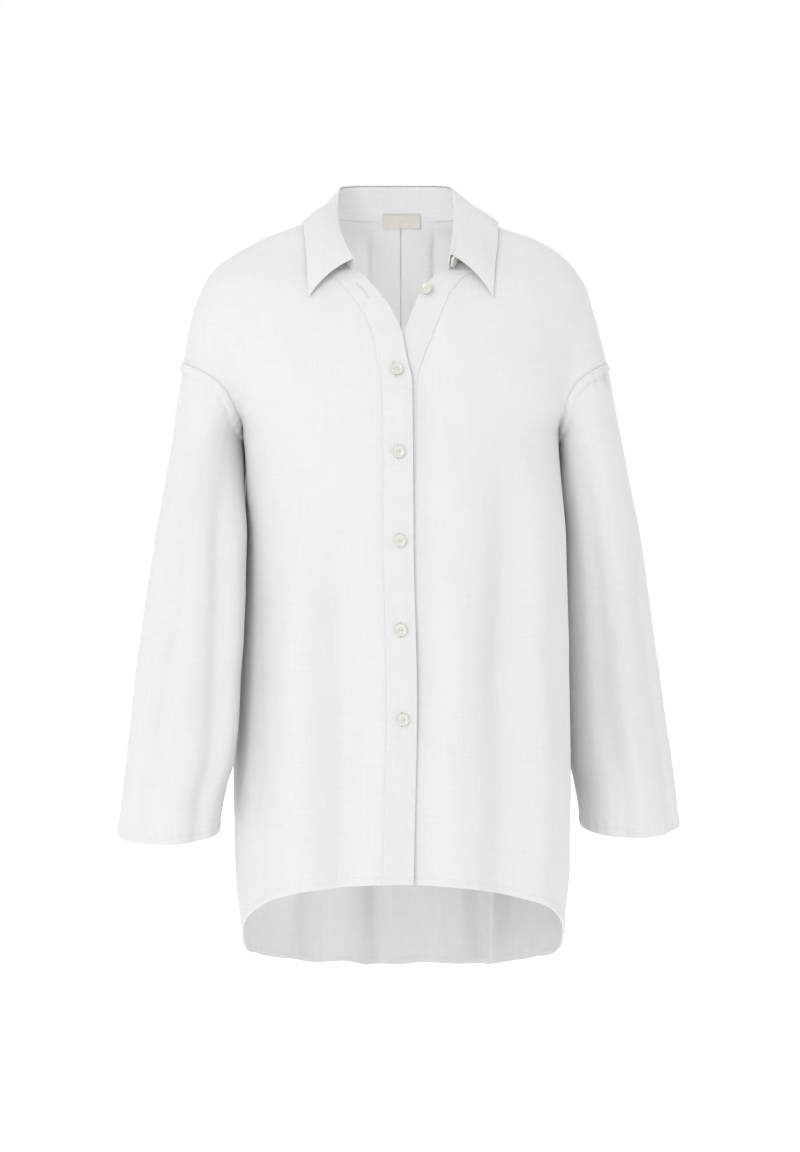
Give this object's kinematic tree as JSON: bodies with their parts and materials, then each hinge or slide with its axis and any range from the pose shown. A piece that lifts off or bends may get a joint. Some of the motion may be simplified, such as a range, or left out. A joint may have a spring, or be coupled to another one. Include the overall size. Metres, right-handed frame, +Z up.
{
  "type": "blouse",
  "caption": "Filled-out loose button-front blouse with wide straight sleeves, turned-down collar, curved hem and a centre-back box pleat, standing open and hollow.",
  "frame": {"origin": "on the centre line, level with the base of the neck and midway between front and back at the shoulder line, where the wearer's shoulders carry the garment", "axes": "+Z up along the garment, -Y out of its front, +X towards the wearer's left; the blouse hangs from Z = 0.05 down to Z = -0.77"},
  "size_m": [0.5711, 0.2963, 0.8173],
  "materials": {
    "cloth": "matt white linen",
    "label_tape": "matt woven tape",
    "shell": "polished shell"
  },
  "bodies": {
    "root": {"front_right": "cloth", "front_left": "cloth", "back": "cloth", "sleeve_right": "cloth", "sleeve_left": "cloth", "placket_right": "cloth", "placket_left": "cloth", "collar_stand": "cloth", "collar_leaf": "cloth", "label": "label_tape", "button_1": "shell", "button_2": "shell", "button_3": "shell", "button_4": "shell", "button_5": "shell", "button_6": "shell", "button_7": "shell"}
  },
  "joints": []
}
